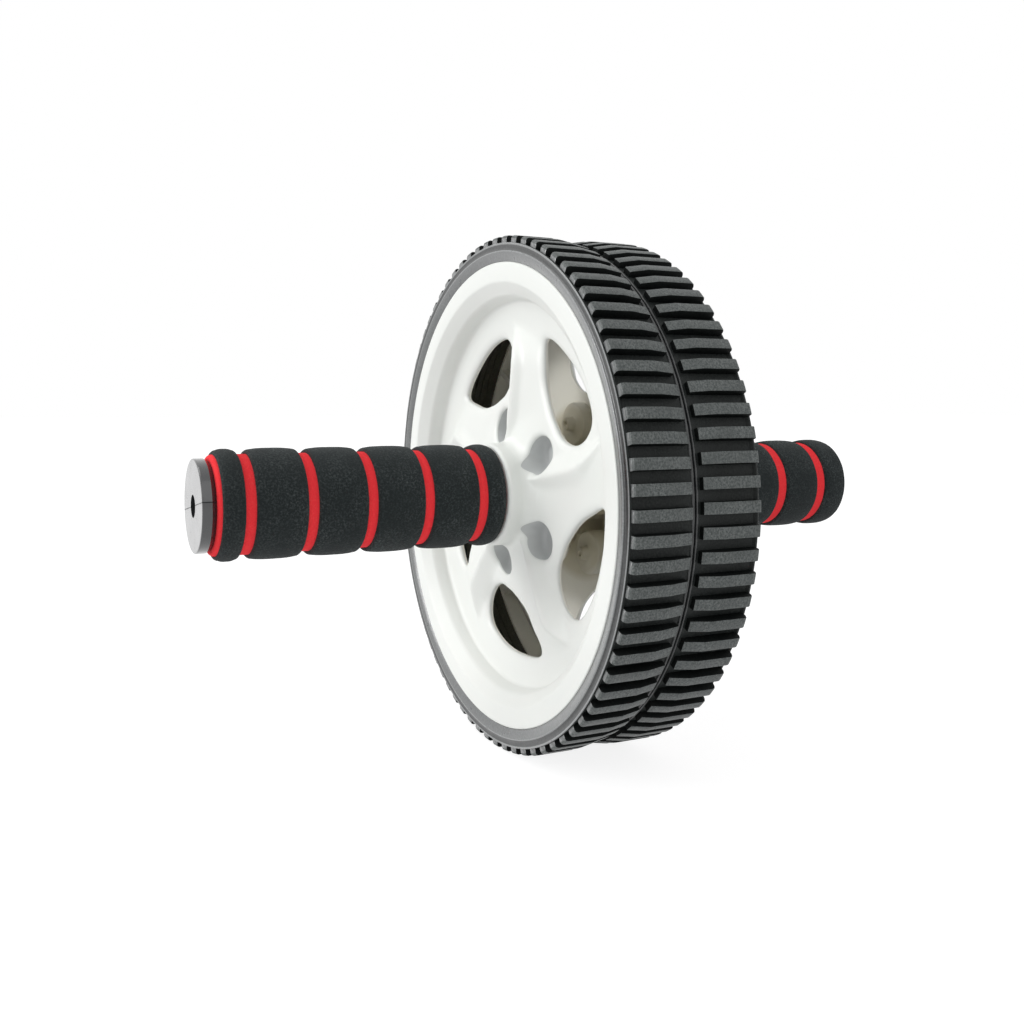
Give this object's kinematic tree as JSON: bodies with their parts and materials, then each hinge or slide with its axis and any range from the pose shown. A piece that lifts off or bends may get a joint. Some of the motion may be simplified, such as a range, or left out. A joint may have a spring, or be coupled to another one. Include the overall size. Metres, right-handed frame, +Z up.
{
  "type": "ab wheel roller",
  "caption": "Ab wheel roller: lugged wheels with moulded arms turn side by side on one axle between foam-covered handles.",
  "frame": {"origin": "centre of the axle, halfway between the two wheels", "axes": "+Y along the axle towards the left handle, +Z up with the roller standing on its tread, +X ahead of the user"},
  "size_m": [0.185, 0.26, 0.185],
  "materials": {
    "white_plastic": "satin white moulded plastic",
    "tyre_rubber": "dark soft PVC, slightly glossy",
    "black_foam": "matt closed-cell foam with a speckled skin",
    "red_foam": "matt closed-cell foam",
    "core_plastic": "satin dark grey moulded plastic",
    "bush_plastic": "natural nylon",
    "steel": "drawn steel rod",
    "washer_steel": "zinc-plated steel"
  },
  "bodies": {
    "handle_bar": {"axle": "steel", "centre_washer": "washer_steel", "right_thrust_washer": "washer_steel", "left_thrust_washer": "washer_steel", "right_core_upper": "core_plastic", "right_core_lower": "core_plastic", "left_core_upper": "core_plastic", "left_core_lower": "core_plastic", "right_inner_sleeve": "red_foam", "left_inner_sleeve": "red_foam", "right_foam_band_1": "black_foam", "right_foam_band_2": "black_foam", "right_foam_band_3": "black_foam", "right_foam_band_4": "black_foam", "right_foam_band_5": "black_foam", "right_foam_band_6": "black_foam", "left_foam_band_1": "black_foam", "left_foam_band_2": "black_foam", "left_foam_band_3": "black_foam", "left_foam_band_4": "black_foam", "left_foam_band_5": "black_foam", "left_foam_band_6": "black_foam"},
    "right_wheel_set": {"right_wheel": "white_plastic", "right_tyre": "tyre_rubber", "right_hub_bush": "bush_plastic"},
    "left_wheel_set": {"left_wheel": "white_plastic", "left_tyre": "tyre_rubber", "left_hub_bush": "bush_plastic"}
  },
  "joints": [
    {"name": "right_wheel_spin", "type": "hinge", "parent": "handle_bar", "child": "right_wheel_set", "pos_m": [0, -0.013, 0], "axis": [0, 1, 0], "continuous": true},
    {"name": "left_wheel_spin", "type": "hinge", "parent": "handle_bar", "child": "left_wheel_set", "pos_m": [0, 0.013, 0], "axis": [0, 1, 0], "continuous": true}
  ]
}
